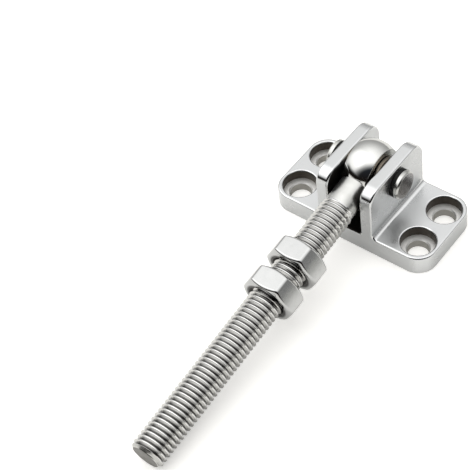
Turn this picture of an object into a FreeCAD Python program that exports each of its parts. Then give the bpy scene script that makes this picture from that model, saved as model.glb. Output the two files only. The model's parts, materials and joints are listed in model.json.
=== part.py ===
import FreeCAD, Part
import math
import os
from FreeCAD import Vector

# Adjustable gate hinge, in millimetres.
# X runs along the hinge pin and +Z points up from the plate's back face.
# The eye bolt lies towards -Y, with its threaded end down on the surface that the plate rests on.

# Mounting plate
plate_length = 64.0
plate_width = 32.0
plate_thickness = 7.5
plate_corner_radius = 7.0

# Screw holes, counterbored from the front of the plate
hole_spacing_x = 49.0
hole_spacing_y = 16.4
screw_hole_diameter = 7.5
counterbore_diameter = 12.2
counterbore_depth = 4.0
counterbore_edge_break = 0.5

# Ears, as wide as the plate
ear_thickness = 4.8
ear_above_pin = 6.9
ear_front_radius = 5.5
ear_back_radius = 7.0
ear_foot_fillet = 1.8
slot_side_clearance = 0.4
slot_corner_fillet = 0.8
edge_bevel = 0.5

# Eye bolt, measured from the pin's axis
thread_diameter = 12.0
stud_length = 125.0
stud_end_chamfer = 1.2
neck_length = 9.6
neck_step = 0.4
ball_diameter = 21.4
ball_edge_round = 0.8
ball_floor_gap = 3.3

# Hinge pin, with a formed head and a nylon collar at each end
pin_diameter = 8.0
pin_seat_clearance = 0.01
pin_running_clearance = 0.05
pin_head_diameter = 10.5
pin_head_thickness = 1.7
pin_head_chamfer = 0.5
collar_thickness = 1.65

# Thrust washers between the eye's flats and the ears
thrust_washer_thickness = 1.2
thrust_washer_inset = 2.35
thrust_clearance = 0.2
neck_washer_gap = 0.6

# Hexagon nuts on the stud
nut_across_flats = 18.0
nut_height = 8.0
nut_face_inset = 0.9
nut_chamfer_angle = 30.0
nut_bore_clearance = 0.05
nut_countersink = 0.7
upper_nut_distance = 39.4
nut_spacing = 5.2

# Sizes that follow from the ones above
thread_radius = thread_diameter / 2
neck_radius = thread_radius - neck_step
ball_radius = ball_diameter / 2
slot_half = thread_radius + slot_side_clearance
ear_outer = slot_half + ear_thickness
eye_half = slot_half - thrust_washer_thickness - thrust_clearance
flat_radius = math.sqrt(ball_radius ** 2 - eye_half ** 2)
thrust_washer_radius = flat_radius - thrust_washer_inset
pin_height = plate_thickness + ball_radius + ball_floor_gap
ear_top = pin_height + ear_above_pin
thread_start = math.sqrt(ball_radius ** 2 - neck_radius ** 2) + neck_length
lower_nut_distance = upper_nut_distance + nut_height + nut_spacing

# The stud hangs until the rim of its last full thread meets the surface under the plate
rim_distance = stud_length - stud_end_chamfer
rim_reach = math.hypot(rim_distance, thread_radius)
rim_angle = math.atan2(thread_radius, rim_distance)
rest_angle = math.degrees(math.asin(pin_height / rim_reach) - rim_angle)

along_x = Vector(1, 0, 0)
along_y = Vector(0, 1, 0)
along_z = Vector(0, 0, 1)
stud_way = Vector(0, -1, 0)
smooth_limit = math.radians(15)


def rounded_face(corners, across, up):
    # Closed outline through (across, up, radius) corners, with a tangent arc at each rounded one
    spots = [across * c[0] + up * c[1] for c in corners]
    starts, middles, ends = [], [], []
    for i, corner in enumerate(corners):
        before = (spots[i - 1] - spots[i]).normalize()
        after = (spots[(i + 1) % len(spots)] - spots[i]).normalize()
        half = before.getAngle(after) / 2
        bisector = (before + after).normalize()
        reach = corner[2] / math.tan(half)
        starts.append(spots[i] + before * reach)
        middles.append(spots[i] + bisector * (corner[2] / math.sin(half) - corner[2]))
        ends.append(spots[i] + after * reach)
    edges = []
    for i, corner in enumerate(corners):
        if corner[2] > 0:
            edges.append(Part.Arc(starts[i], middles[i], ends[i]).toShape())
        edges.append(Part.makeLine(ends[i], starts[(i + 1) % len(corners)]))
    return Part.Face(Part.Wire(edges))


def turned(profile, axis, outward):
    # Solid of revolution from (distance along the axis, radius) points
    points = [axis * distance + outward * radius for distance, radius in profile]
    solid = Part.Face(Part.makePolygon(points + points[:1])).revolve(Vector(), axis, 360)
    if solid.Volume < 0:
        solid.reverse()
    return solid


def ring(inner_radius, outer_radius, start, thickness):
    # Plain washer on the pin's axis, from start in the +X direction
    base = along_x * start + along_z * pin_height
    outer = Part.makeCylinder(outer_radius, thickness, base, along_x)
    return outer.cut(Part.makeCylinder(inner_radius, thickness, base, along_x))


def sharp_edges(shape, above):
    # Edges over a given height whose two faces meet at an angle
    found = []
    for edge in shape.Edges:
        middle = edge.valueAt((edge.FirstParameter + edge.LastParameter) / 2)
        if middle.z < above:
            continue
        normals = []
        for face in shape.ancestorsOfType(edge, Part.Face):
            u, v = face.Surface.parameter(middle)
            normals.append(face.normalAt(u, v))
        if len(normals) == 2 and normals[0].getAngle(normals[1]) > smooth_limit:
            found.append(edge)
    return found


def screw_hole(x, y):
    # Through hole, counterbore and the broken edge at the counterbore's mouth
    wide = counterbore_diameter / 2
    through = screw_hole_diameter / 2
    seat = plate_thickness - counterbore_depth
    mouth = plate_thickness - counterbore_edge_break
    profile = [(0, 0), (0, through), (seat, through), (seat, wide), (mouth, wide),
               (plate_thickness, wide + counterbore_edge_break), (plate_thickness, 0)]
    cutter = turned(profile, along_z, along_x)
    cutter.translate(Vector(x, y, 0))
    return cutter


def make_bracket():
    half_length = plate_length / 2
    half_width = plate_width / 2
    right = [(half_length, plate_thickness, 0), (ear_outer, plate_thickness, ear_foot_fillet),
             (ear_outer, ear_top, 0), (slot_half, ear_top, 0),
             (slot_half, plate_thickness, slot_corner_fillet)]
    left = [(-x, z, radius) for x, z, radius in reversed(right)]
    section = rounded_face([(-half_length, 0, 0), (half_length, 0, 0)] + right + left, along_x, along_z)
    section.translate(along_y * -half_width)
    plan = [(-half_length, -half_width), (half_length, -half_width),
            (half_length, half_width), (-half_length, half_width)]
    plan = rounded_face([(x, y, plate_corner_radius) for x, y in plan], along_x, along_y)
    side = rounded_face([(-half_width, 0, 0), (half_width, 0, 0), (half_width, ear_top, ear_back_radius),
                         (-half_width, ear_top, ear_front_radius)], along_y, along_z)
    side.translate(along_x * -half_length)
    bracket = section.extrude(along_y * plate_width)
    bracket = bracket.common(plan.extrude(along_z * ear_top))
    bracket = bracket.common(side.extrude(along_x * plate_length)).Solids[0]
    bracket = bracket.makeChamfer(edge_bevel, sharp_edges(bracket, plate_thickness / 2))
    for x in (-hole_spacing_x / 2, hole_spacing_x / 2):
        for y in (-hole_spacing_y / 2, hole_spacing_y / 2):
            bracket = bracket.cut(screw_hole(x, y))
    pin_seat = Part.makeCylinder(pin_diameter / 2 + pin_seat_clearance, 2 * ear_outer,
                                 Vector(-ear_outer, 0, pin_height), along_x)
    return bracket.cut(pin_seat).Solids[0]


def make_pin():
    shank = pin_diameter / 2
    head = pin_head_diameter / 2
    under_head = ear_outer + collar_thickness
    rim = under_head + pin_head_thickness - pin_head_chamfer
    end = under_head + pin_head_thickness
    right = [(under_head, shank), (under_head, head), (rim, head),
             (end, head - pin_head_chamfer), (end, 0)]
    left = [(-distance, radius) for distance, radius in reversed(right)]
    pin = turned(left + right, along_x, along_z)
    pin.translate(along_z * pin_height)
    return pin


def make_ball():
    # Sphere with a flat on each side, turned about the pin's axis
    corner_left = Vector(-eye_half, flat_radius, 0)
    corner_right = Vector(eye_half, flat_radius, 0)
    arc = Part.Arc(corner_left, Vector(0, ball_radius, 0), corner_right).toShape()
    foot_left = Vector(-eye_half, 0, 0)
    foot_right = Vector(eye_half, 0, 0)
    outline = [Part.makeLine(foot_left, corner_left), arc,
               Part.makeLine(corner_right, foot_right), Part.makeLine(foot_right, foot_left)]
    ball = Part.Face(Part.Wire(outline)).revolve(Vector(), along_x, 360)
    if ball.Volume < 0:
        ball.reverse()
    return ball.makeFillet(ball_edge_round, sharp_edges(ball, -ball_diameter))


def on_stud(shape):
    # Turns a shape modelled about the pin's axis down to its resting place
    shape.rotate(Vector(), along_x, rest_angle)
    shape.translate(along_z * pin_height)
    return shape


def make_eye_bolt():
    neck_start = thrust_washer_radius + neck_washer_gap
    profile = [(neck_start, 0), (neck_start, neck_radius), (thread_start, neck_radius),
               (thread_start + neck_step, thread_radius), (rim_distance, thread_radius),
               (stud_length, thread_radius - stud_end_chamfer), (stud_length, 0)]
    bolt = make_ball().fuse(turned(profile, stud_way, along_z))
    bore = Part.makeCylinder(pin_diameter / 2 + pin_running_clearance, 2 * eye_half,
                             along_x * -eye_half, along_x)
    return on_stud(bolt.cut(bore).Solids[0])


def make_nut(distance):
    corner = nut_across_flats / math.sqrt(3)
    face = nut_across_flats / 2 - nut_face_inset / 2
    far = distance + nut_height
    turns = [i * math.pi / 3 for i in range(7)]
    hexagon = [(along_x * math.cos(t) + along_z * math.sin(t)) * corner for t in turns]
    hexagon = [spot + stud_way * distance for spot in hexagon]
    blank = Part.Face(Part.makePolygon(hexagon)).extrude(stud_way * nut_height)
    drop = (corner - face) * math.tan(math.radians(nut_chamfer_angle))
    crowned = [(distance, 0), (distance, face), (distance + drop, corner),
               (far - drop, corner), (far, face), (far, 0)]
    bore = thread_radius + nut_bore_clearance
    mouth = bore + nut_countersink
    hole = [(distance, 0), (distance, mouth), (distance + nut_countersink, bore),
            (far - nut_countersink, bore), (far, mouth), (far, 0)]
    nut = blank.common(turned(crowned, stud_way, along_z))
    return on_stud(nut.cut(turned(hole, stud_way, along_z)).Solids[0])


def make_parts():
    seat = pin_diameter / 2 + pin_running_clearance
    head = pin_head_diameter / 2
    disc = thrust_washer_radius
    disc_start = slot_half - thrust_washer_thickness
    return {
        "bracket": make_bracket(),
        "hinge_pin": make_pin(),
        "pin_collar_right": ring(seat, head, ear_outer, collar_thickness),
        "pin_collar_left": ring(seat, head, -ear_outer - collar_thickness, collar_thickness),
        "thrust_washer_right": ring(seat, disc, disc_start, thrust_washer_thickness),
        "thrust_washer_left": ring(seat, disc, -slot_half, thrust_washer_thickness),
        "eye_bolt": make_eye_bolt(),
        "upper_nut": make_nut(upper_nut_distance),
        "lower_nut": make_nut(lower_nut_distance),
    }


os.makedirs("parts", exist_ok=True)
for name, shape in make_parts().items():
    print(name, "valid", shape.isValid(), "solids", len(shape.Solids), "volume %.1f" % shape.Volume)
    shape.exportStep("parts/%s.step" % name)
print("pin height %.3f, rest angle %.4f" % (pin_height, rest_angle))
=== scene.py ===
import json
import math
import bmesh
import bpy
from mathutils import Matrix, Vector


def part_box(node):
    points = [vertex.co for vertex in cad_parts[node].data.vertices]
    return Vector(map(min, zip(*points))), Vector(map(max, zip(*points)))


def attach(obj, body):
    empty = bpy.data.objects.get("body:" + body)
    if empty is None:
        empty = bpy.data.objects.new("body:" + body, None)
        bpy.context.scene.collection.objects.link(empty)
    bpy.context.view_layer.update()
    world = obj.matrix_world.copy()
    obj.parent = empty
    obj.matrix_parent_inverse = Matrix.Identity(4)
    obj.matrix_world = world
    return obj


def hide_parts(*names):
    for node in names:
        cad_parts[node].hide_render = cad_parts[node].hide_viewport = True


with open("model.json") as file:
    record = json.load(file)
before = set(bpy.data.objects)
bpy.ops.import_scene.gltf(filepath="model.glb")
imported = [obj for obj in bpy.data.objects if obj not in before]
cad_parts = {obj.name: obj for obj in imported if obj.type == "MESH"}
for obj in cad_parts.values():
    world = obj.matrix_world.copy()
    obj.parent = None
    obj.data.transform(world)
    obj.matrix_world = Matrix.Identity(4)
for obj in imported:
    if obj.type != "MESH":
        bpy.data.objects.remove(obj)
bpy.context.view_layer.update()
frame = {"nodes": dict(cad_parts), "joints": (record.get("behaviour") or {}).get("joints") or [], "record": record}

mm = 0.001
scene = bpy.context.scene
scene.view_settings.view_transform = "Standard"
joints = {joint["name"]: joint for joint in frame["joints"]}

# the stud's own frame: across is along the pin, over points up out of the stud, way runs to its free end
pinCentre = Vector(joints["stud_swing"]["pos_m"])
way = Vector(joints["upper_nut_travel"]["axis"]).normalized()
across = Vector((1, 0, 0))
over = way.cross(across)
holes = frame["record"]["mounts"][0]["dims"]  # spacing and radius of the screw holes, in mm
holeSpot = (holes["spacing_x_mm"] / 2 * mm, holes["spacing_y_mm"] / 2 * mm, 0)  # the right rear one


def studSpan(node):  # nearest and farthest reach of a node along the stud, from the pin
    reach = [(v.co - pinCentre).dot(way) for v in frame["nodes"][node].data.vertices]
    return min(reach), max(reach)


def linear(hexText):  # sRGB hex to a linear colour
    parts = [int(hexText[i:i + 2], 16) / 255 for i in (0, 2, 4)]
    return [p / 12.92 if p <= 0.04045 else ((p + 0.055) / 1.055) ** 2.4 for p in parts] + [1.0]


def perMm(size):  # texture scale for a pattern of that many millimetres
    return 1 / (size * mm)


noiseRange = {"From Min": 0.3, "From Max": 0.7}  # where most values of a noise lie


def addNode(tree, kind, inputs=None, **settings):
    # one node, its settings and what feeds it
    # a Mix takes its share at 0, numbers at 2 and 3 and colours at 6 and 7
    node = tree.nodes.new("ShaderNode" + kind)
    for name, value in settings.items():
        setattr(node, name, value)
    for name, value in (inputs or {}).items():
        if isinstance(value, bpy.types.NodeSocket):
            tree.links.new(value, node.inputs[name])
        else:
            node.inputs[name].default_value = value
    return node


def newMaterial(name):  # empty material with its principled shader already on the output
    material = bpy.data.materials.new(name)
    material.use_nodes = True
    tree = material.node_tree
    tree.nodes.clear()
    shader = addNode(tree, "BsdfPrincipled")
    addNode(tree, "OutputMaterial", {"Surface": shader.outputs[0]})
    place = addNode(tree, "TexCoord").outputs["Object"]
    return material, tree, shader, place


def feed(tree, shader, **sockets):  # values or links for the shader's own sockets
    names = {"colour": "Base Color", "metallic": "Metallic", "roughness": "Roughness", "normal": "Normal",
             "gloss": "Specular IOR Level"}
    for name, value in sockets.items():
        target = shader.inputs[names[name]]
        if isinstance(value, bpy.types.NodeSocket):
            tree.links.new(value, target)
        else:
            target.default_value = value


bracketForm = {
    "plateThick": 7.5 * mm, "plateCorner": 7.0 * mm, "slotHalf": 6.4 * mm, "earOuter": 11.2 * mm,
    "earFront": 5.5 * mm, "earBack": 7.0 * mm, "footFillet": 1.8 * mm, "slotFillet": 0.8 * mm,
    "edgeRound": 0.8 * mm, "counterbore": 6.1 * mm, "counterboreDepth": 4.0 * mm, "lipRound": 0.6 * mm,
    "seatBreak": 0.45 * mm, "lipTurn": 80.0, "pinSeat": 4.01 * mm,
    "edgeSteps": 5, "cornerSteps": 16, "filletSteps": 10, "aroundHole": 96, "aroundPin": 64,
}
bracketLook = {  # lengths in mm; the tumbled grain is drawn coarser than it is, so that it shows
    "flat": "D0D1D1", "worn": "DDDEDE", "cloud": 9.0, "wave": 0.02, "waveShare": 0.5,
    "grain": 0.6, "grainShare": 0.3, "unevenSpan": (0.35, 0.65), "satin": (0.25, 0.42),
    "edgeTurn": (0.99, 0.75), "polish": (0.15, 0.10), "polishRise": (7.55, 8.0),
    # inside the counterbores: a wall in painted shade, a seat painted pale as painted light, a hole in lighter
    # painted shade
    "boreWallShade": "4E4943", "seat": "EEEDEA", "holeWall": "B2B0AB", "cutRough": 0.5, "steep": 0.4,
    "boreReach": 6.15, "wallReach": 5.5, "holeReach": 3.9,
    # painted shade in the slot, in two dark tones, fading out above a height that rises towards the front
    "slotShade": ("1A1917", "33302C"), "slotShadeRough": 0.6, "slotShadeTop": (23.0, 26.5), "slotShadeLean": 0.4,
    "slotReach": 6.45, "slotSink": 0.4,
}


def satinCastStainless(look):
    # investment cast stainless, tumbled: soft satin flats, edges rubbed brighter; painted shade on the counterbore
    # walls, lighter in the through holes, painted light on the seats, and painted shade low in the slot
    material, tree, shader, place = newMaterial("satin cast stainless")
    cloud = addNode(tree, "TexNoise", {"Vector": place, "Scale": perMm(look["cloud"]), "Detail": 2.0})
    grain = addNode(tree, "TexNoise", {"Vector": place, "Scale": perMm(look["grain"]), "Detail": 3.0})
    faceNormal = addNode(tree, "TexCoord").outputs["Normal"]
    squared = addNode(tree, "VectorMath", {0: faceNormal, 1: faceNormal}, operation="MULTIPLY")
    split = addNode(tree, "SeparateXYZ", {0: squared.outputs[0]})
    flatter = addNode(tree, "Math", {0: split.outputs[0], 1: split.outputs[1]}, operation="MAXIMUM")
    flattest = addNode(tree, "Math", {0: flatter.outputs[0], 1: split.outputs[2]}, operation="MAXIMUM")
    edge = addNode(tree, "MapRange", {"Value": flattest.outputs[0], "From Min": look["edgeTurn"][0],
                                      "From Max": look["edgeTurn"][1]})
    uneven = addNode(tree, "Mix", {0: look["grainShare"], 2: cloud.outputs[0], 3: grain.outputs[0]})
    satin = addNode(tree, "MapRange", {"Value": uneven.outputs[0], "From Min": look["unevenSpan"][0],
                                       "From Max": look["unevenSpan"][1], "To Min": look["satin"][0],
                                       "To Max": look["satin"][1]})
    height = addNode(tree, "SeparateXYZ", {0: place})
    rubbed = addNode(tree, "MapRange", {"Value": height.outputs[2], "From Min": look["polishRise"][0] * mm,
                                        "From Max": look["polishRise"][1] * mm,
                                        "To Min": look["polish"][0], "To Max": look["polish"][1]})
    rough = addNode(tree, "Mix", {0: edge.outputs[0], 2: satin.outputs[0], 3: rubbed.outputs[0]})
    tint = addNode(tree, "Mix", {0: edge.outputs[0], 6: linear(look["flat"]), 7: linear(look["worn"])},
                   data_type="RGBA")
    mirrored = addNode(tree, "VectorMath", {0: place}, operation="ABSOLUTE")
    away = addNode(tree, "VectorMath", {0: mirrored.outputs[0], 1: holeSpot}, operation="SUBTRACT")
    away = addNode(tree, "VectorMath", {0: away.outputs[0], 1: (1, 1, 0)}, operation="MULTIPLY")
    away = addNode(tree, "VectorMath", {0: away.outputs[0]}, operation="LENGTH")
    # counterbores: painted shade on the walls and in the through holes, painted light on the seats
    inBore = addNode(tree, "Math", {0: away.outputs[1], 1: look["boreReach"] * mm}, operation="LESS_THAN")
    onWall = addNode(tree, "Math", {0: away.outputs[1], 1: look["wallReach"] * mm},
                     operation="GREATER_THAN")
    upright = addNode(tree, "Math", {0: split.outputs[2], 1: look["steep"]}, operation="LESS_THAN")
    onWall = addNode(tree, "Math", {0: onWall.outputs[0], 1: upright.outputs[0]}, operation="MULTIPLY")
    cut = addNode(tree, "Mix", {0: onWall.outputs[0], 6: linear(look["seat"]),
                                7: linear(look["boreWallShade"])}, data_type="RGBA")
    inHole = addNode(tree, "Math", {0: away.outputs[1], 1: look["holeReach"] * mm}, operation="LESS_THAN")
    inHole = addNode(tree, "Math", {0: inHole.outputs[0], 1: upright.outputs[0]}, operation="MULTIPLY")
    cut = addNode(tree, "Mix", {0: inHole.outputs[0], 6: cut.outputs[2], 7: linear(look["holeWall"])},
                  data_type="RGBA")
    tint = addNode(tree, "Mix", {0: inBore.outputs[0], 6: tint.outputs[2], 7: cut.outputs[2]},
                   data_type="RGBA")
    rough = addNode(tree, "Mix", {0: inBore.outputs[0], 2: rough.outputs[0], 3: look["cutRough"]})
    # painted shade in the slot between the ears, darkest low down and towards the front
    sides = addNode(tree, "SeparateXYZ", {0: mirrored.outputs[0]})
    inSlot = addNode(tree, "Math", {0: sides.outputs[0], 1: look["slotReach"] * mm}, operation="LESS_THAN")
    slotFloor = bracketForm["plateThick"] - look["slotSink"] * mm
    above = addNode(tree, "Math", {0: sides.outputs[2], 1: slotFloor}, operation="GREATER_THAN")
    shadedSlot = addNode(tree, "Math", {0: inSlot.outputs[0], 1: above.outputs[0]}, operation="MULTIPLY")
    leaning = addNode(tree, "Math", {0: height.outputs[1], 1: look["slotShadeLean"], 2: height.outputs[2]},
                      operation="MULTIPLY_ADD")
    under = addNode(tree, "MapRange", {"Value": leaning.outputs[0], "From Min": look["slotShadeTop"][1] * mm,
                                       "From Max": look["slotShadeTop"][0] * mm})
    shadedSlot = addNode(tree, "Math", {0: shadedSlot.outputs[0], 1: under.outputs[0]}, operation="MULTIPLY")
    slotShade = addNode(tree, "Mix", {0: grain.outputs[0], 6: linear(look["slotShade"][0]),
                                   7: linear(look["slotShade"][1])}, data_type="RGBA")
    tint = addNode(tree, "Mix", {0: shadedSlot.outputs[0], 6: tint.outputs[2], 7: slotShade.outputs[2]},
                   data_type="RGBA")
    rough = addNode(tree, "Mix", {0: shadedSlot.outputs[0], 2: rough.outputs[0], 3: look["slotShadeRough"]})
    bump = addNode(tree, "Bump", {"Height": cloud.outputs[0], "Distance": look["wave"] * mm,
                                  "Strength": look["waveShare"]})
    feed(tree, shader, colour=tint.outputs[2], metallic=1.0, roughness=rough.outputs[0],
         normal=bump.outputs[0])
    return material


# the ball, its neck, the flat end of the stud and the thrust washers; lengths in mm
ballLook = {"clean": "DADAD8", "dull": "CFCFCB", "cloud": 5.0, "polish": (0.05, 0.10), "orange": 1.6}
neckLook = {"clean": "DCDCD9", "dull": "C6C6C2", "cloud": 3.0, "polish": (0.26, 0.36), "orange": 1.2}
# the stud's flat end is darker than the rest of the bolt
endLook = {"clean": "8E8C88", "dull": "7A7874", "cloud": 2.0, "polish": (0.35, 0.50), "orange": 0.6}
# the thrust washers are painted dark brown-grey as painted shade in the gaps beside the ball
washerLook = {"clean": "857D72", "dull": "665F56", "cloud": 5.0, "polish": (0.18, 0.28), "orange": 1.6}
buffing = {"height": 0.01, "share": 0.3}  # the swell of all four


def polishedStainless(name, look):
    # turned stainless, buffed or left dull: near mirror to satin, with the faint swell that buffing leaves
    material, tree, shader, place = newMaterial(name)
    cloud = addNode(tree, "TexNoise", {"Vector": place, "Scale": perMm(look["cloud"]), "Detail": 5.0})
    swell = addNode(tree, "TexNoise", {"Vector": place, "Scale": perMm(look["orange"]), "Detail": 2.0})
    rough = addNode(tree, "MapRange", {"Value": cloud.outputs[0], **noiseRange,
                                       "To Min": look["polish"][0], "To Max": look["polish"][1]})
    tint = addNode(tree, "Mix", {0: cloud.outputs[0], 6: linear(look["clean"]), 7: linear(look["dull"])},
                   data_type="RGBA")
    bump = addNode(tree, "Bump", {"Height": swell.outputs[0], "Distance": buffing["height"] * mm,
                                  "Strength": buffing["share"]})
    feed(tree, shader, colour=tint.outputs[2], metallic=1.0, roughness=rough.outputs[0],
         normal=bump.outputs[0])
    return material


threadLook = {  # lengths in mm
    # the dark colours below are painted shade: in the roots, on the flanks facing the free end and on the
    # underside
    "crest": "DEDEDD", "root": "1E1C19", "endFlankShade": "D6D5D2", "undersideShade": "8E8C88", "clear": "FFFFFF",
    "polish": (0.06, 0.12), "cloud": 2.2, "rootShade": (0.24, 0.8), "rootShadeSide": (-1.5, -4.5),
    "flankTurn": (0.25, 0.7), "undersideShadeTurn": (0.05, -0.45),
}


def rolledThreadStainless(look, rootRadius, crestRadius):
    # rolled thread: bright crests, with painted shade in the roots that reaches nearer the crests on the -x side,
    # on the underside and on the flanks that face the free end
    material, tree, shader, place = newMaterial("rolled thread stainless")
    cloud = addNode(tree, "TexNoise", {"Vector": place, "Scale": perMm(look["cloud"]), "Detail": 5.0})
    offset = addNode(tree, "VectorMath", {0: place, 1: pinCentre}, operation="SUBTRACT")
    side = addNode(tree, "VectorMath", {0: offset.outputs[0], 1: across}, operation="DOT_PRODUCT")
    rise = addNode(tree, "VectorMath", {0: offset.outputs[0], 1: over}, operation="DOT_PRODUCT")
    flat = addNode(tree, "CombineXYZ", {0: side.outputs[1], 1: rise.outputs[1]})
    radius = addNode(tree, "VectorMath", {0: flat.outputs[0]}, operation="LENGTH")
    # painted shade in the roots, reaching nearer the crests on the -x side
    clean, deepRootLevel = (rootRadius + share * (crestRadius - rootRadius) for share in look["rootShade"])
    level = addNode(tree, "MapRange", {"Value": side.outputs[1], "From Min": look["rootShadeSide"][0] * mm,
                                       "From Max": look["rootShadeSide"][1] * mm, "To Min": clean,
                                       "To Max": deepRootLevel})
    depth = addNode(tree, "MapRange", {"Value": radius.outputs[1], "From Min": rootRadius,
                                       "From Max": level.outputs[0]})
    tint = addNode(tree, "Mix", {0: depth.outputs[0], 6: linear(look["root"]), 7: linear(look["crest"])},
                   data_type="RGBA")
    # painted shade on the flanks that face the free end
    faceNormal = addNode(tree, "TexCoord").outputs["Normal"]
    facing = addNode(tree, "VectorMath", {0: faceNormal, 1: way}, operation="DOT_PRODUCT")
    onFlank = addNode(tree, "MapRange", {"Value": facing.outputs[1], "From Min": look["flankTurn"][0],
                                         "From Max": look["flankTurn"][1]})
    onFlank = addNode(tree, "Math", {0: onFlank.outputs[0], 1: depth.outputs[0]}, operation="MULTIPLY")
    tint = addNode(tree, "Mix", {0: onFlank.outputs[0], 6: tint.outputs[2], 7: linear(look["endFlankShade"])},
                   data_type="RGBA")
    # painted shade on the underside of the stud, on faces turned away from over
    facing = addNode(tree, "VectorMath", {0: faceNormal, 1: over}, operation="DOT_PRODUCT")
    onUnderside = addNode(tree, "MapRange", {"Value": facing.outputs[1], "From Min": look["undersideShadeTurn"][0],
                                         "From Max": look["undersideShadeTurn"][1]})
    undersideShading = addNode(tree, "Mix", {0: onUnderside.outputs[0], 6: linear(look["clear"]),
                                    7: linear(look["undersideShade"])}, data_type="RGBA")
    tint = addNode(tree, "Mix", {0: 1.0, 6: tint.outputs[2], 7: undersideShading.outputs[2]}, data_type="RGBA",
                   blend_type="MULTIPLY")
    rough = addNode(tree, "MapRange", {"Value": cloud.outputs[0], **noiseRange,
                                       "To Min": look["polish"][0], "To Max": look["polish"][1]})
    feed(tree, shader, colour=tint.outputs[2], metallic=1.0, roughness=rough.outputs[0])
    return material


nutLook = {"bright": "CCCCCB", "dull": "C0C1C0", "cloud": 3.0, "polish": (0.06, 0.10),  # lengths in mm
           # the darkest colour is painted shade in a ring round the mouth of the threaded hole
           "forge": 2.5, "dent": 0.02, "dentShare": 0.3, "mouthShade": "2B2926", "mouthShadeReach": (7.3, 8.0)}


def forgedStainless(look):
    # cold forged and barrelled nuts: bright flats with shallow die marks, and a ring of painted shade round the
    # threaded hole
    material, tree, shader, place = newMaterial("cold forged stainless")
    cloud = addNode(tree, "TexNoise", {"Vector": place, "Scale": perMm(look["cloud"]), "Detail": 5.0})
    dents = addNode(tree, "TexNoise", {"Vector": place, "Scale": perMm(look["forge"]), "Detail": 2.0})
    rough = addNode(tree, "MapRange", {"Value": cloud.outputs[0], **noiseRange,
                                       "To Min": look["polish"][0], "To Max": look["polish"][1]})
    tint = addNode(tree, "Mix", {0: cloud.outputs[0], 6: linear(look["bright"]), 7: linear(look["dull"])},
                   data_type="RGBA")
    offset = addNode(tree, "VectorMath", {0: place, 1: pinCentre}, operation="SUBTRACT")
    lengthwise = addNode(tree, "VectorMath", {0: offset.outputs[0], 1: way}, operation="PROJECT")
    offset = addNode(tree, "VectorMath", {0: offset.outputs[0], 1: lengthwise.outputs[0]},
                     operation="SUBTRACT")
    radius = addNode(tree, "VectorMath", {0: offset.outputs[0]}, operation="LENGTH")
    # painted shade in a ring round the mouth of the threaded hole
    inMouthShade = addNode(tree, "MapRange", {"Value": radius.outputs[1], "From Min": look["mouthShadeReach"][1] * mm,
                                      "From Max": look["mouthShadeReach"][0] * mm})
    tint = addNode(tree, "Mix", {0: inMouthShade.outputs[0], 6: tint.outputs[2], 7: linear(look["mouthShade"])},
                   data_type="RGBA")
    bump = addNode(tree, "Bump", {"Height": dents.outputs[0], "Distance": look["dent"] * mm,
                                  "Strength": look["dentShare"]})
    feed(tree, shader, colour=tint.outputs[2], metallic=1.0, roughness=rough.outputs[0],
         normal=bump.outputs[0])
    return material


pinLook = {"bright": "D2D2CF", "dull": "B9B9B5", "end": "A09E9D", "polish": (0.16, 0.30),  # lengths in mm
           "toolMark": 0.25, "markDepth": 0.01, "markShare": 0.4, "endTurn": (0.93, 0.99)}


def turnedStainless(look):
    # lathe turned pin: rings from the tool on its faces, drawn coarse enough to show, and the flat ends darker
    material, tree, shader, place = newMaterial("turned stainless")
    offset = addNode(tree, "VectorMath", {0: place, 1: pinCentre}, operation="SUBTRACT")
    split = addNode(tree, "SeparateXYZ", {0: offset.outputs[0]})
    flat = addNode(tree, "CombineXYZ", {0: split.outputs[1], 1: split.outputs[2]})
    radius = addNode(tree, "VectorMath", {0: flat.outputs[0]}, operation="LENGTH")
    rings = addNode(tree, "TexNoise", {"W": radius.outputs[1], "Scale": perMm(look["toolMark"]),
                                       "Detail": 2.0}, noise_dimensions="1D")
    rough = addNode(tree, "MapRange", {"Value": rings.outputs[0], **noiseRange,
                                       "To Min": look["polish"][0], "To Max": look["polish"][1]})
    tint = addNode(tree, "Mix", {0: rings.outputs[0], 6: linear(look["bright"]), 7: linear(look["dull"])},
                   data_type="RGBA")
    faceNormal = addNode(tree, "TexCoord").outputs["Normal"]
    facing = addNode(tree, "VectorMath", {0: faceNormal, 1: across}, operation="DOT_PRODUCT")
    facing = addNode(tree, "Math", {0: facing.outputs[1]}, operation="ABSOLUTE")
    onEnd = addNode(tree, "MapRange", {"Value": facing.outputs[0], "From Min": look["endTurn"][0],
                                       "From Max": look["endTurn"][1]})
    tint = addNode(tree, "Mix", {0: onEnd.outputs[0], 6: tint.outputs[2], 7: linear(look["end"])},
                   data_type="RGBA")
    bump = addNode(tree, "Bump", {"Height": rings.outputs[0], "Distance": look["markDepth"] * mm,
                                  "Strength": look["markShare"]})
    feed(tree, shader, colour=tint.outputs[2], metallic=1.0, roughness=rough.outputs[0],
         normal=bump.outputs[0])
    return material


# painted shade for the nut's threaded hole and countersinks, in two dark tones
boreShadeLook = {"deepShade": "24221F", "paleShade": "3A3733", "cloud": 1.2, "sheen": (0.25, 0.45)}


def boreShadeThread(look):
    # the thread inside a nut and its countersinks: nearly black as painted shade, and only a dull gleam
    material, tree, shader, place = newMaterial("bore shade stainless")
    cloud = addNode(tree, "TexNoise", {"Vector": place, "Scale": perMm(look["cloud"]), "Detail": 3.0})
    tint = addNode(tree, "Mix", {0: cloud.outputs[0], 6: linear(look["deepShade"]), 7: linear(look["paleShade"])},
                   data_type="RGBA")
    rough = addNode(tree, "MapRange", {"Value": cloud.outputs[0], **noiseRange,
                                       "To Min": look["sheen"][0], "To Max": look["sheen"][1]})
    feed(tree, shader, colour=tint.outputs[2], metallic=1.0, roughness=rough.outputs[0])
    return material


nylonLook = {"body": "0B0B0B", "scuff": "181817", "grain": 0.5, "sheen": (0.45, 0.6), "gloss": 0.2}


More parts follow.
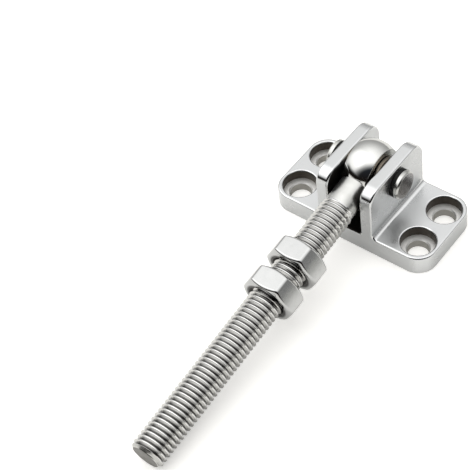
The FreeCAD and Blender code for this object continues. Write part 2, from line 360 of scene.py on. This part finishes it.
def blackNylon(look):
    # moulded nylon: dull black with paler scuffs, and a skin drawn coarser than it is so that it shows
    material, tree, shader, place = newMaterial("black nylon")
    grain = addNode(tree, "TexNoise", {"Vector": place, "Scale": perMm(look["grain"]), "Detail": 4.0})
    tint = addNode(tree, "Mix", {0: grain.outputs[0], 6: linear(look["body"]), 7: linear(look["scuff"])},
                   data_type="RGBA")
    rough = addNode(tree, "MapRange", {"Value": grain.outputs[0], **noiseRange,
                                       "To Min": look["sheen"][0], "To Max": look["sheen"][1]})
    feed(tree, shader, colour=tint.outputs[2], metallic=0.0, roughness=rough.outputs[0],
         gloss=look["gloss"])
    return material


def turnedShell(profile, base, axis, outward, closed, steps):
    # points (along, radius) swept round an axis: a closed ring, or an open run such as one that starts and
    # ends on the axis; a radius may be a function of the angle
    third = axis.cross(outward)
    verts, rows, faces = [], [], []
    for along, radius in profile:
        count = steps if callable(radius) or radius > 0 else 1
        rows.append([len(verts) + j for j in range(count)])
        for j in range(count):
            turn = 2 * math.pi * j / steps
            reach = radius(turn) if callable(radius) else radius
            verts.append(base + axis * along + (outward * math.cos(turn) + third * math.sin(turn)) * reach)
    pairs = list(zip(rows, rows[1:] + rows[:1] if closed else rows[1:]))
    for first, second in pairs:
        for j in range(steps):
            k = (j + 1) % steps
            corner = [first[j % len(first)], first[k % len(first)],
                      second[k % len(second)], second[j % len(second)]]
            face = [v for i, v in enumerate(corner) if v not in corner[:i]]
            faces.append(face)
    return verts, faces


cornerShare = 0.45  # most of a side that one rounded corner may take


def softCorners(points, radius, closed, steps=4):
    # the same outline with each inner corner rounded
    rounded = []
    count = len(points)
    for i, point in enumerate(points):
        if not closed and i in (0, count - 1):
            rounded.append(point)
            continue
        here = Vector(point)
        before = Vector(points[i - 1]) - here
        after = Vector(points[(i + 1) % count]) - here
        turn = before.angle(after)
        reach = min(radius / math.tan(turn / 2), cornerShare * before.length, cornerShare * after.length)
        start = here + before.normalized() * reach
        end = here + after.normalized() * reach
        for k in range(steps + 1):
            t = k / steps
            rounded.append(tuple(start * (1 - t) ** 2 + here * 2 * t * (1 - t) + end * t ** 2))
    return rounded


def meshObject(name, verts, faces):
    mesh = bpy.data.meshes.new(name)
    mesh.from_pydata([tuple(v) for v in verts], [], faces)
    obj = bpy.data.objects.new(name, mesh)
    scene.collection.objects.link(obj)
    grown = bmesh.new()
    grown.from_mesh(mesh)
    bmesh.ops.recalc_face_normals(grown, faces=grown.faces)
    grown.to_mesh(mesh)
    grown.free()
    return obj


def settle(obj):  # bake the modifiers into the mesh
    graph = bpy.context.evaluated_depsgraph_get()
    mesh = bpy.data.meshes.new_from_object(obj.evaluated_get(graph))
    obj.modifiers.clear()
    obj.data = mesh


def combine(obj, other, operation):  # exact boolean, applied, and the cutter removed
    tool = obj.modifiers.new(operation, "BOOLEAN")
    tool.operation = operation
    tool.solver = "EXACT"
    tool.object = other
    settle(obj)
    bpy.data.objects.remove(other)


plainCrease = 32.0  # degrees; what turns more stays a sharp edge


def dress(obj, body, node, materials, crease=plainCrease):
    # shading, finish and place in the assembly
    indices = [face.material_index for face in obj.data.polygons]  # clearing the slots would reset them
    obj.data.materials.clear()
    for material in materials:
        obj.data.materials.append(material)
    obj.data.polygons.foreach_set("material_index", indices)
    obj.data.shade_smooth()
    obj.data.set_sharp_from_angle(angle=math.radians(crease))
    even = obj.modifiers.new("even", "WEIGHTED_NORMAL")  # flats stay flat beside rounded edges
    even.keep_sharp = True
    settle(obj)
    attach(obj, body)
    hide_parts(node)


overlap = 0.6 * mm  # how far joined shapes reach into each other
hair = 0.005 * mm  # keeps flush faces from lying exactly on each other


def roundedRing(low, high, radii, inset, steps):
    # rectangle with rounded corners, drawn in by inset
    points = []
    for i, (sideA, sideB) in enumerate(((1, -1), (1, 1), (-1, 1), (-1, -1))):
        radius = max(radii[i] - inset, 4 * hair)  # a square corner keeps a trace of rounding
        centreA = (high[0] if sideA > 0 else low[0]) - sideA * (inset + radius)
        centreB = (high[1] if sideB > 0 else low[1]) - sideB * (inset + radius)
        for k in range(steps + 1):
            turn = (i - 1 + k / steps) * math.pi / 2
            points.append((centreA + radius * math.cos(turn), centreB + radius * math.sin(turn)))
    return points


def ringSkin(rings):  # closed skin through rings of equally many points
    count = len(rings[0])
    verts = [point for ring in rings for point in ring]
    faces = [list(range(count)), [len(verts) - count + i for i in range(count)]]
    for row in range(len(rings) - 1):
        for i in range(count):
            j = (i + 1) % count
            faces.append([row * count + i, row * count + j, (row + 1) * count + j, (row + 1) * count + i])
    return verts, faces


def quarter(radius, steps):  # (depth, draw-in) along a rounded edge, from its outer end inwards
    turns = [k / steps * math.pi / 2 for k in range(steps + 1)]
    return [(radius * (1 - math.cos(t)), radius * (1 - math.sin(t))) for t in turns]


def footStrip(spec, wall, side, radius, reach):
    # concave fillet between an ear and the plate, with its two ends rounded off
    arcSteps = spec["filletSteps"]
    centreX = wall + side * (radius - 2 * hair)
    centreZ = spec["plateThick"] + radius - 2 * hair
    ends = quarter(spec["edgeRound"], spec["edgeSteps"])
    stations = [(-reach + depth, inset) for depth, inset in ends]
    stations += [(reach - depth, inset) for depth, inset in reversed(ends)]
    rings = []
    for y, inset in stations:
        ring = [Vector((wall - side * overlap - side * inset, y, spec["plateThick"] - overlap - inset)),
                Vector((wall - side * overlap - side * inset, y, centreZ))]
        for k in range(arcSteps + 1):
            turn = math.pi * (1 + k / arcSteps / 2)
            ring.append(Vector((centreX + side * (radius + inset) * math.cos(turn), y,
                                centreZ + (radius + inset) * math.sin(turn))))
        ring.append(Vector((centreX, y, spec["plateThick"] - overlap - inset)))
        rings.append(ring)
    return meshObject("footTool", *ringSkin(rings))


def holeTool(spec, x, y):
    # through hole, counterbore with a broken seat edge, and the rounded lip at its mouth
    seat = spec["plateThick"] - spec["counterboreDepth"]
    bore = holes["hole_r_mm"] * mm
    lip = spec["lipRound"]
    broken = spec["seatBreak"]
    profile = [(-overlap, 0), (-overlap, bore), (seat - broken, bore), (seat, bore + broken),
               (seat, spec["counterbore"])]
    steps = spec["edgeSteps"]
    for k in range(steps + 1):
        turn = math.radians(spec["lipTurn"]) * k / steps
        profile.append((spec["plateThick"] - lip + lip * math.sin(turn),
                        spec["counterbore"] + lip - lip * math.cos(turn)))
    top = spec["plateThick"] + overlap
    profile += [(top, spec["counterbore"] + lip), (top, 0)]
    shell = turnedShell(profile, Vector((x, y, 0)), Vector((0, 0, 1)), across, False, spec["aroundHole"])
    return meshObject("holeTool", *shell)


def buildBracket(spec):
    low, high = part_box("bracket")
    ends = quarter(spec["edgeRound"], spec["edgeSteps"])
    steps = spec["cornerSteps"]
    corners = [spec["plateCorner"]] * 4
    levels = [(low.z, 0)] + [(spec["plateThick"] - depth, inset) for depth, inset in reversed(ends)]
    rings = [[Vector((a, b, z))
              for a, b in roundedRing((low.x, low.y), (high.x, high.y), corners, inset, steps)]
             for z, inset in levels]
    body = meshObject("bracket_cast", *ringSkin(rings))
    reach = high.y - hair
    corners = [0, spec["earBack"], spec["earFront"], 0]
    for side in (-1, 1):
        depths = [(spec["slotHalf"] + depth, inset) for depth, inset in ends]
        depths += [(spec["earOuter"] - depth, inset) for depth, inset in reversed(ends)]
        rings = [[Vector((side * x, a, b))
                  for a, b in roundedRing((-reach, overlap), (reach, high.z), corners, inset, steps)]
                 for x, inset in depths]
        combine(body, meshObject("earTool", *ringSkin(rings)), "UNION")
        outerFoot = footStrip(spec, side * spec["earOuter"], side, spec["footFillet"], reach - hair)
        combine(body, outerFoot, "UNION")
        slotFoot = footStrip(spec, side * spec["slotHalf"], -side, spec["slotFillet"], reach - hair)
        combine(body, slotFoot, "UNION")
    for x in (-holeSpot[0], holeSpot[0]):
        for y in (-holeSpot[1], holeSpot[1]):
            combine(body, holeTool(spec, x, y), "DIFFERENCE")
    seat = [(-high.x, 0), (-high.x, spec["pinSeat"]), (high.x, spec["pinSeat"]), (high.x, 0)]
    pinTool = meshObject("pinTool", *turnedShell(seat, pinCentre, across, over, False, spec["aroundPin"]))
    combine(body, pinTool, "DIFFERENCE")
    return body


eyeBolt = {
    "threadRadius": 6.0 * mm, "threadPitch": 1.75 * mm, "threadDepth": 1.05 * mm, "runOut": 1.6 * mm,
    "neckRadius": 5.6 * mm, "neckStart": 7.71 * mm, "threadStart": 18.72 * mm,
    "endChamfer": 1.2 * mm, "endRound": 0.25 * mm,
    "eyeHalf": 5.0 * mm, "eyeBore": 4.05 * mm, "edgeRound": 0.8 * mm,
    "aroundStud": 72, "aroundBall": 128, "ballSteps": 28, "edgeSteps": 6, "endInner": 0.5,
    "neckTilt": 0.05, "neckReach": 0.15 * mm, "seamReach": 0.001 * mm, "weld": 0.002 * mm, "crease": 40.0,
    # one pitch of the thread: share of the pitch, share of the depth
    "thread": [(0.0, 1.0), (0.085, 1.0), (0.12, 0.95), (0.2, 0.74), (0.3, 0.43), (0.39, 0.12), (0.43, 0.03),
               (0.5, 0.0), (0.57, 0.03), (0.61, 0.12), (0.7, 0.43), (0.8, 0.74), (0.88, 0.95), (0.915, 1.0)],
}
eyeSkin = {"ball": 0, "thread": 1, "chamfer": 2, "end": 3, "neck": 4}  # places in its list of materials


def threadShell(spec, studEnd):
    # rows follow the helix, so every crest and root is an unbroken line of edges
    steps = spec["aroundStud"]
    pitch = spec["threadPitch"]
    root = spec["threadRadius"] - spec["threadDepth"]
    knots = spec["thread"]
    turns = int((studEnd - spec["threadStart"]) / pitch) + 2
    endRadius = spec["threadRadius"] - spec["endChamfer"]
    verts, columns = [], []
    for j in range(steps):
        turn = 2 * math.pi * j / steps
        out = across * math.cos(turn) + over * math.sin(turn)
        column, last = [], None
        for m in range(-1, turns + 1):
            for phase, share in knots:
                along = spec["threadStart"] + pitch * (m + phase + j / steps)
                along = min(max(along, spec["threadStart"]), studEnd)
                if along != last:
                    radius = root + share * spec["threadDepth"]
                    ease = min(max((along - spec["threadStart"]) / spec["runOut"], 0), 1)
                    ease = ease * ease * (3 - 2 * ease)
                    radius = spec["neckRadius"] + (radius - spec["neckRadius"]) * ease
                    radius = min(radius, endRadius + studEnd - along)
                    verts.append(pinCentre + way * along + out * radius)
                    last = along
                column.append(len(verts) - 1)
        columns.append(column)
    faces = []
    rows = len(columns[0])
    for j in range(steps):
        shift = len(knots) if j == steps - 1 else 0
        here, there = columns[j], columns[(j + 1) % steps]
        for k in range(rows - 1):
            if k + 1 + shift >= rows:
                corner = [here[k], here[k + 1], there[-1]]
            else:
                corner = [here[k], here[k + 1], there[k + 1 + shift], there[k + shift]]
            face = [v for i, v in enumerate(corner) if v not in corner[:i]]
            if len(face) > 2:
                faces.append(face)
    return verts, faces


def buildEyeBolt(spec):
    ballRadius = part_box("eye_bolt")[1].z - pinCentre.z
    studEnd = studSpan("eye_bolt")[1]
    half = spec["eyeHalf"]
    arcSteps = spec["ballSteps"]
    flat = math.acos(half / ballRadius)
    arc = [(-ballRadius * math.cos(a), ballRadius * math.sin(a))
           for a in [flat + (math.pi - 2 * flat) * i / arcSteps for i in range(arcSteps + 1)]]
    soft = [(-half, spec["eyeBore"]), arc[0], arc[1]]
    soft = softCorners(soft, spec["edgeRound"], False, spec["edgeSteps"])[1:-1]
    mirrored = [(-a, r) for a, r in reversed(soft)]
    arc = [(a, r) for a, r in arc if abs(a) < abs(soft[-1][0])]
    profile = [(-half, spec["eyeBore"])] + soft + arc + mirrored + [(half, spec["eyeBore"])]
    shell = turnedShell(profile, pinCentre, across, over, True, spec["aroundBall"])
    ball = meshObject("eye_bolt_threaded", *shell)
    neck = [(spec["neckStart"], 0), (spec["neckStart"], spec["neckRadius"]),
            (spec["threadStart"], spec["neckRadius"]), (spec["threadStart"], 0)]
    neckTool = meshObject("neckTool", *turnedShell(neck, pinCentre, way, across, False, spec["aroundStud"]))
    combine(ball, neckTool, "UNION")
    grown = bmesh.new()
    grown.from_mesh(ball.data)
    for face in grown.faces:
        offset = face.calc_center_median() - pinCentre
        radial = (offset - way * offset.dot(way)).length
        onNeck = offset.dot(way) > 0 and abs(face.normal.dot(way)) < spec["neckTilt"]
        onNeck = onNeck and abs(radial - spec["neckRadius"]) < spec["neckReach"]
        face.material_index = eyeSkin["neck" if onNeck else "ball"]
    stop = spec["threadStart"] - spec["seamReach"]
    cap = [f for f in grown.faces if all((v.co - pinCentre).dot(way) > stop for v in f.verts)]
    bmesh.ops.delete(grown, geom=cap, context="FACES")
    verts, faces = threadShell(spec, studEnd)
    added = [grown.verts.new(v) for v in verts]
    chamferStart = studEnd - spec["endChamfer"]
    for face in faces:
        cut = all((verts[i] - pinCentre).dot(way) > chamferStart for i in face)
        grown.faces.new([added[i] for i in face]).material_index = eyeSkin["chamfer" if cut else "thread"]
    endRadius = spec["threadRadius"] - spec["endChamfer"]
    lip = [(studEnd, endRadius), (studEnd, endRadius - spec["endRound"]),
           (studEnd, spec["endInner"] * endRadius), (studEnd, 0)]
    verts, faces = turnedShell(lip, pinCentre, way, across, False, spec["aroundStud"])
    added = [grown.verts.new(v) for v in verts]
    for face in faces:
        grown.faces.new([added[i] for i in face]).material_index = eyeSkin["end"]
    bmesh.ops.remove_doubles(grown, verts=grown.verts, dist=spec["weld"])
    bmesh.ops.recalc_face_normals(grown, faces=grown.faces)
    grown.to_mesh(ball.data)
    grown.free()
    return ball


nut = {
    "acrossFlats": 18.0 * mm, "crownRadius": 220.0 * mm, "faceInset": 0.45 * mm, "chamfer": 30.0,
    "bore": 6.05 * mm, "countersink": 0.7 * mm, "blend": 0.85 * mm, "faceSoft": 0.35 * mm,
    "rowStep": 0.1 * mm, "cornerRows": 2, "fineRows": 18, "coarseRows": 8, "around": 216,
}
boreShadeSkin = 1  # the place of the painted bore shade in a nut's list of materials


def softMin(a, b, blend):  # the lesser of two reaches, with the edge where they cross rounded
    share = max(blend - abs(a - b), 0) / blend
    return min(a, b) - share * share * blend / 4


def buildNut(name, node, spec):
    near, far = studSpan(node)
    half = spec["acrossFlats"] / 2
    face = half - spec["faceInset"]
    slope = math.tan(math.radians(spec["chamfer"]))
    sixth = math.pi / 3

    def flatReach(off):  # one flat, very slightly crowned as forging leaves it
        inward = half - spec["crownRadius"]
        return inward * math.cos(off) + math.sqrt(spec["crownRadius"] ** 2 - (inward * math.sin(off)) ** 2)

    def outside(cone):  # the hexagon, cut back by the chamfer where that lies further in
        def reach(turn):
            off = abs(turn % sixth - sixth / 2)
            hexagon = softMin(flatReach(off), flatReach(sixth - off), spec["blend"])
            return softMin(hexagon, cone, spec["blend"])
        return reach

    first = spec["cornerRows"] * spec["rowStep"]
    crown = [(0, face - 2 * spec["faceSoft"]), (0, face), (first, face + first / slope)]
    crown = softCorners(crown, spec["faceSoft"], False)
    depths = [(k + 1 + spec["cornerRows"]) * spec["rowStep"] for k in range(spec["fineRows"])]
    depths += [depths[-1] + ((far - near) / 2 - depths[-1]) * k / spec["coarseRows"]
               for k in range(1, spec["coarseRows"] + 1)]
    crown += [(depth, face + depth / slope) for depth in depths]
    upper = [(near + depth, outside(cone)) for depth, cone in crown]
    lower = [(far - depth, outside(cone)) for depth, cone in reversed(crown[:-1])]
    mouth = spec["bore"] + spec["countersink"]
    bore = [(far, mouth), (far - spec["countersink"], spec["bore"]),
            (near + spec["countersink"], spec["bore"]), (near, mouth)]
    shell = turnedShell(bore + upper + lower, pinCentre, way, across, True, spec["around"])
    return meshObject(name, *shell)


def shadeBore(obj, spec):  # second material, painted shade, on the threaded hole and its countersinks
    mouth = spec["bore"] + spec["countersink"] + hair
    for face in obj.data.polygons:
        away = [obj.data.vertices[i].co - pinCentre for i in face.vertices]
        if all((a - way * a.dot(way)).length < mouth for a in away):
            face.material_index = boreShadeSkin


pin = {"shank": 4.0 * mm, "head": 5.25 * mm, "headThick": 1.7 * mm, "headChamfer": 0.5 * mm,
       "soft": 0.12 * mm, "around": 96}
washer = {"bore": 4.05 * mm, "soft": 0.3 * mm, "around": 96}


def buildPin(spec):
    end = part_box("hinge_pin")[1].x
    under = end - spec["headThick"]
    right = [(under, spec["shank"]), (under, spec["head"]), (end - spec["headChamfer"], spec["head"]),
             (end, spec["head"] - spec["headChamfer"]), (end, 0)]
    left = [(-a, r) for a, r in reversed(right)]
    profile = softCorners(left + right, spec["soft"], False)
    shell = turnedShell(profile, pinCentre, across, over, False, spec["around"])
    return meshObject("hinge_pin_turned", *shell)


def buildWasher(name, node, spec):
    low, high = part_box(node)
    outer = (high.z - low.z) / 2
    ring = [(low.x, spec["bore"]), (low.x, outer), (high.x, outer), (high.x, spec["bore"])]
    ring = softCorners(ring, spec["soft"], True)
    return meshObject(name, *turnedShell(ring, pinCentre, across, over, True, spec["around"]))


print("materials")
steelBracket = satinCastStainless(bracketLook)
steelBall = polishedStainless("polished stainless", ballLook)
steelWasher = polishedStainless("shaded washer stainless", washerLook)
steelEnd = polishedStainless("stud end stainless", endLook)
steelNeck = polishedStainless("fine turned stainless", neckLook)
steelThread = rolledThreadStainless(threadLook, eyeBolt["threadRadius"] - eyeBolt["threadDepth"],
                                    eyeBolt["threadRadius"])
steelNut = forgedStainless(nutLook)
steelPin = turnedStainless(pinLook)
boreShade = boreShadeThread(boreShadeLook)
nylon = blackNylon(nylonLook)

print("bracket")
dress(buildBracket(bracketForm), "bracket", "bracket", [steelBracket])

print("eye bolt")
dress(buildEyeBolt(eyeBolt), "eye_bolt", "eye_bolt",
      [steelBall, steelThread, steelPin, steelEnd, steelNeck], eyeBolt["crease"])

print("nuts")
for node in ("upper_nut", "lower_nut"):
    forged = buildNut(node + "_forged", node, nut)
    shadeBore(forged, nut)
    dress(forged, node, node, [steelNut, boreShade])

print("pin, collars and washers")
dress(buildPin(pin), "bracket", "hinge_pin", [steelPin])
for side in ("left", "right"):
    collar = "pin_collar_" + side
    moulded = buildWasher(collar + "_moulded", collar, washer)
    dress(moulded, "bracket", collar, [nylon])
    thrust = "thrust_washer_" + side
    pressed = buildWasher(thrust + "_pressed", thrust, washer)
    dress(pressed, "bracket", thrust, [steelWasher])

print("studio")
# the second colour is a painted falloff of light, reached far from the object
floorSpec = {"size": 6.0, "drop": 0.02, "colour": "F6F5F2", "far": "B4B4B0", "near": (250.0, 800.0),
             "rough": 0.9, "lift": 0.1, "cameraLift": 0.35}  # size in metres, drop and near in mm


def paleFloor(spec):
    # matt painted board: white to the eye, keeping the soft shadow under the object, and greying away from it as a
    # painted falloff of light
    material, tree, shader, place = newMaterial("matt white board")
    away = addNode(tree, "VectorMath", {0: place}, operation="LENGTH")
    # painted falloff of light: the board greys between the two near distances
    fade = addNode(tree, "MapRange", {"Value": away.outputs[1], "From Min": spec["near"][0] * mm,
                                      "From Max": spec["near"][1] * mm}, interpolation_type="SMOOTHSTEP")
    tint = addNode(tree, "Mix", {0: fade.outputs[0], 6: linear(spec["colour"]), 7: linear(spec["far"])},
                   data_type="RGBA")
    feed(tree, shader, colour=tint.outputs[2], roughness=spec["rough"])
    path = addNode(tree, "LightPath")
    seen = addNode(tree, "Math", {0: path.outputs["Is Camera Ray"], 1: path.outputs["Is Glossy Ray"]},
                   operation="MAXIMUM")
    seen = addNode(tree, "Math", {0: seen.outputs[0], 1: path.outputs["Is Transmission Ray"]},
                   operation="MAXIMUM")
    lift = addNode(tree, "Math", {0: seen.outputs[0], 1: spec["lift"]}, operation="MULTIPLY")
    lift = addNode(tree, "Math", {0: path.outputs["Is Camera Ray"], 1: spec["cameraLift"],
                                  2: lift.outputs[0]}, operation="MULTIPLY_ADD")
    glow = addNode(tree, "Emission", {"Color": tint.outputs[2], "Strength": lift.outputs[0]})
    both = addNode(tree, "AddShader", {0: shader.outputs[0], 1: glow.outputs[0]})
    output = [n for n in tree.nodes if n.type == "OUTPUT_MATERIAL"][0]
    tree.links.new(both.outputs[0], output.inputs[0])
    return material


def buildFloor(spec):
    half = spec["size"] / 2
    corners = [(a * half, b * half, -spec["drop"] * mm) for a, b in ((-1, -1), (1, -1), (1, 1), (-1, 1))]
    floor = meshObject("floor", corners, [[0, 1, 2, 3]])
    floor.data.materials.append(paleFloor(spec))


tent = {  # headings, heights and spreads in degrees
    "horizon": 0.48, "top": 1.7, "climb": 2.0,
    "frontHeading": 141.0, "frontSpread": (17.0, 48.0), "front": ("1C1610", "2A3038"),
    "rightHeading": 85.0, "rightSpread": (48.0, 72.0), "rightKept": 0.6,
    "skirtHeading": 172.0, "skirtSpread": (80.0, 62.0), "skirtHeight": (24.0, 10.0),
    "lampHeading": -118.0, "lampHeight": 42.0, "lampSpread": (45.0, 15.0), "lampGain": 0.7,
}


def heading(degrees, height=0.0):  # direction from a compass angle, 0 towards +Y and 90 towards +X
    a, e = math.radians(degrees), math.radians(height)
    return Vector((math.sin(a) * math.cos(e), math.cos(a) * math.cos(e), math.sin(e)))


def buildTent(spec):
    # white tent lit through its roof and by a lamp outside its left wall, with an open dark front
    world = bpy.data.worlds.new("studio tent")
    scene.world = world
    world.use_nodes = True
    tree = world.node_tree
    tree.nodes.clear()
    direction = addNode(tree, "TexCoord").outputs["Generated"]

    def towards(aim, start, end, low=0.0, high=1.0):  # from low to high as a ray turns towards a direction
        along = addNode(tree, "VectorMath", {0: direction, 1: aim}, operation="DOT_PRODUCT")
        ramp = addNode(tree, "MapRange", {"Value": along.outputs[1], "From Min": start, "From Max": end,
                                          "To Min": low, "To Max": high}, interpolation_type="SMOOTHSTEP")
        return ramp.outputs[0]

    rise = addNode(tree, "SeparateXYZ", {0: direction}).outputs[2]
    steep = addNode(tree, "Math", {0: rise, 1: spec["climb"]}, operation="POWER", use_clamp=True)
    roof = addNode(tree, "MapRange", {"Value": steep.outputs[0], "To Min": spec["horizon"],
                                      "To Max": spec["top"]})
    wide, narrow = (math.sin(math.radians(a)) for a in spec["rightSpread"])
    right = towards(heading(spec["rightHeading"]), wide, narrow, 1.0, spec["rightKept"])
    wide, narrow = (math.cos(math.radians(a)) for a in spec["lampSpread"])
    lamp = towards(heading(spec["lampHeading"], spec["lampHeight"]), wide, narrow, 0.0, spec["lampGain"])
    wall = addNode(tree, "Math", {0: roof.outputs[0], 1: right, 2: lamp}, operation="MULTIPLY_ADD")
    wide, narrow = (math.sin(math.radians(a)) for a in spec["frontSpread"])
    dark = towards(heading(spec["frontHeading"]), wide, narrow)
    wide, narrow = (math.cos(math.radians(a)) for a in spec["skirtSpread"])
    skirt = towards(heading(spec["skirtHeading"]), wide, narrow)
    high, low = (math.sin(math.radians(a)) for a in spec["skirtHeight"])
    under = towards(heading(0.0, 90.0), high, low)
    skirt = addNode(tree, "Math", {0: skirt, 1: under}, operation="MULTIPLY")
    dark = addNode(tree, "Math", {0: dark, 1: skirt.outputs[0]}, operation="MAXIMUM").outputs[0]
    shade = addNode(tree, "Mix", {0: rise, 6: linear(spec["front"][0]), 7: linear(spec["front"][1])},
                    data_type="RGBA")
    both = addNode(tree, "Mix", {0: dark, 6: wall.outputs[0], 7: shade.outputs[2]}, data_type="RGBA")
    back = addNode(tree, "Background", {"Color": both.outputs[2]})
    addNode(tree, "OutputWorld", {"Surface": back.outputs[0]})


buildFloor(floorSpec)
buildTent(tent)

view = {"azimuth": 44.829, "elevation": 49.606, "roll": -9.618, "place": (193.03, -263.32, 378.64),
        "lens": 108.70, "sensor": 36.0, "nearest": 10.0}  # degrees and mm


def buildCamera(spec):
    azimuth, elevation, roll = (math.radians(spec[k]) for k in ("azimuth", "elevation", "roll"))
    back = Vector((math.sin(azimuth) * math.cos(elevation), -math.cos(azimuth) * math.cos(elevation),
                   math.sin(elevation)))
    level = Vector((math.cos(azimuth), math.sin(azimuth), 0))
    upright = back.cross(level)
    right = level * math.cos(roll) + upright * math.sin(roll)
    up = upright * math.cos(roll) - level * math.sin(roll)
    lens = bpy.data.cameras.new("photo view")
    lens.lens = spec["lens"]
    lens.sensor_width = spec["sensor"]
    lens.clip_start = spec["nearest"] * mm
    camera = bpy.data.objects.new("photo view", lens)
    scene.collection.objects.link(camera)
    turned = Matrix((right, up, back)).transposed().to_4x4()
    camera.matrix_world = Matrix.Translation(Vector(spec["place"]) * mm) @ turned
    scene.camera = camera


buildCamera(view)
